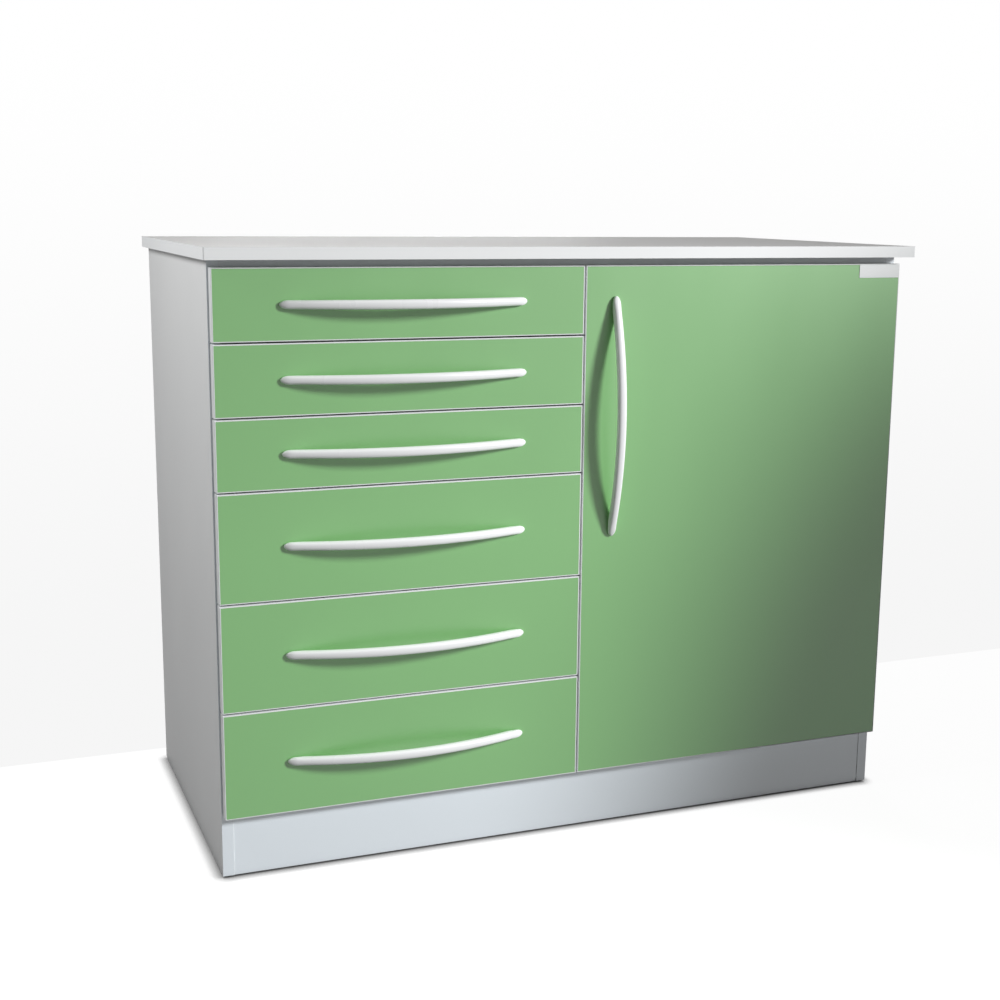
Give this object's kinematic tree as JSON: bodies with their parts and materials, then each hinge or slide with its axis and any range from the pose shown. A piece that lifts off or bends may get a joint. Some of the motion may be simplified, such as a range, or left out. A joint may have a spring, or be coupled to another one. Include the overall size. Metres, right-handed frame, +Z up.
{
  "type": "clinic drawer cabinet",
  "caption": "Floor-standing clinic base cabinet with worktop, a stack of drawers with bow handles at the left and a hinged cupboard door at the right.",
  "frame": {"origin": "on the floor, in the middle of the cabinet's whole footprint, handles included", "axes": "+X to the cabinet's right as one faces its front from outside, +Y from the front to the back, +Z up; the fronts face -Y"},
  "size_m": [1.05, 0.543, 0.85],
  "materials": {
    "worktop_laminate": "pale grey decorative laminate, satin, on chipboard",
    "white_laminate": "white melamine-faced chipboard, satin",
    "green_laminate": "soft green melamine-faced chipboard, satin",
    "white_edging": "white plastic edge band, satin",
    "white_hardboard": "white-faced hardboard, smooth",
    "handle_white": "white satin-gloss coating on a die-cast bow",
    "runner_steel": "zinc-plated rolled steel",
    "hinge_steel": "nickel-plated pressed steel",
    "pin_steel": "zinc-plated steel",
    "glide_plastic": "white moulded plastic, matt"
  },
  "bodies": {
    "cabinet": {"worktop": "worktop_laminate", "left_side_panel": "white_laminate", "right_side_panel": "white_laminate", "partition_panel": "white_laminate", "bottom_panel": "white_laminate", "plinth_board": "white_laminate", "top_rails": "white_laminate", "back_panel": "white_hardboard", "shelf": "white_laminate", "shelf_pins": "pin_steel", "floor_glides": "glide_plastic", "cabinet_runners": "runner_steel", "hinge_arms": "hinge_steel"},
    "door": {"door_panel": "green_laminate", "door_edging": "white_edging", "door_handle": "handle_white", "hinge_cups": "hinge_steel"},
    "hinge_link_pair": {"hinge_links": "hinge_steel"},
    "drawer_1": {"drawer_1_front": "green_laminate", "drawer_1_edging": "white_edging", "drawer_1_handle": "handle_white", "drawer_1_box": "white_laminate", "drawer_1_bottom": "white_hardboard", "drawer_1_runners": "runner_steel"},
    "runner_middle_1": {"drawer_1_runner_middles": "runner_steel"},
    "drawer_2": {"drawer_2_front": "green_laminate", "drawer_2_edging": "white_edging", "drawer_2_handle": "handle_white", "drawer_2_box": "white_laminate", "drawer_2_bottom": "white_hardboard", "drawer_2_runners": "runner_steel"},
    "runner_middle_2": {"drawer_2_runner_middles": "runner_steel"},
    "drawer_3": {"drawer_3_front": "green_laminate", "drawer_3_edging": "white_edging", "drawer_3_handle": "handle_white", "drawer_3_box": "white_laminate", "drawer_3_bottom": "white_hardboard", "drawer_3_runners": "runner_steel"},
    "runner_middle_3": {"drawer_3_runner_middles": "runner_steel"},
    "drawer_4": {"drawer_4_front": "green_laminate", "drawer_4_edging": "white_edging", "drawer_4_handle": "handle_white", "drawer_4_box": "white_laminate", "drawer_4_bottom": "white_hardboard", "drawer_4_runners": "runner_steel"},
    "runner_middle_4": {"drawer_4_runner_middles": "runner_steel"},
    "drawer_5": {"drawer_5_front": "green_laminate", "drawer_5_edging": "white_edging", "drawer_5_handle": "handle_white", "drawer_5_box": "white_laminate", "drawer_5_bottom": "white_hardboard", "drawer_5_runners": "runner_steel"},
    "runner_middle_5": {"drawer_5_runner_middles": "runner_steel"},
    "drawer_6": {"drawer_6_front": "green_laminate", "drawer_6_edging": "white_edging", "drawer_6_handle": "handle_white", "drawer_6_box": "white_laminate", "drawer_6_bottom": "white_hardboard", "drawer_6_runners": "runner_steel"},
    "runner_middle_6": {"drawer_6_runner_middles": "runner_steel"}
  },
  "joints": [
    {"name": "drawer_1_slide", "type": "slide", "parent": "cabinet", "child": "drawer_1", "axis": [0, -1, 0], "range_m": [0, 0.45]},
    {"name": "runner_middle_1_slide", "type": "slide", "parent": "cabinet", "child": "runner_middle_1", "axis": [0, -1, 0], "range_m": [0, 0.225]},
    {"name": "drawer_2_slide", "type": "slide", "parent": "cabinet", "child": "drawer_2", "axis": [0, -1, 0], "range_m": [0, 0.45]},
    {"name": "runner_middle_2_slide", "type": "slide", "parent": "cabinet", "child": "runner_middle_2", "axis": [0, -1, 0], "range_m": [0, 0.225]},
    {"name": "drawer_3_slide", "type": "slide", "parent": "cabinet", "child": "drawer_3", "axis": [0, -1, 0], "range_m": [0, 0.45]},
    {"name": "runner_middle_3_slide", "type": "slide", "parent": "cabinet", "child": "runner_middle_3", "axis": [0, -1, 0], "range_m": [0, 0.225]},
    {"name": "drawer_4_slide", "type": "slide", "parent": "cabinet", "child": "drawer_4", "axis": [0, -1, 0], "range_m": [0, 0.45]},
    {"name": "runner_middle_4_slide", "type": "slide", "parent": "cabinet", "child": "runner_middle_4", "axis": [0, -1, 0], "range_m": [0, 0.225]},
    {"name": "drawer_5_slide", "type": "slide", "parent": "cabinet", "child": "drawer_5", "axis": [0, -1, 0], "range_m": [0, 0.45]},
    {"name": "runner_middle_5_slide", "type": "slide", "parent": "cabinet", "child": "runner_middle_5", "axis": [0, -1, 0], "range_m": [0, 0.225]},
    {"name": "drawer_6_slide", "type": "slide", "parent": "cabinet", "child": "drawer_6", "axis": [0, -1, 0], "range_m": [0, 0.45]},
    {"name": "runner_middle_6_slide", "type": "slide", "parent": "cabinet", "child": "runner_middle_6", "axis": [0, -1, 0], "range_m": [0, 0.225]},
    {"name": "door_hinge", "type": "hinge", "parent": "cabinet", "child": "door", "pos_m": [0.5075, -0.231, 0.45725], "axis": [0, 0, 1], "range_deg": [0, 100]},
    {"name": "hinge_link_pivot", "type": "hinge", "parent": "cabinet", "child": "hinge_link_pair", "pos_m": [0.4785, -0.2285, 0.45725], "axis": [0, 0, 1], "range_deg": [-33, 0]}
  ],
  "couplings": [
    {"joint": "runner_middle_1_slide", "follows": "drawer_1_slide", "ratio": 0.5},
    {"joint": "runner_middle_2_slide", "follows": "drawer_2_slide", "ratio": 0.5},
    {"joint": "runner_middle_3_slide", "follows": "drawer_3_slide", "ratio": 0.5},
    {"joint": "runner_middle_4_slide", "follows": "drawer_4_slide", "ratio": 0.5},
    {"joint": "runner_middle_5_slide", "follows": "drawer_5_slide", "ratio": 0.5},
    {"joint": "runner_middle_6_slide", "follows": "drawer_6_slide", "ratio": 0.5},
    {"joint": "hinge_link_pivot", "follows": "door_hinge", "ratio": -0.325}
  ]
}
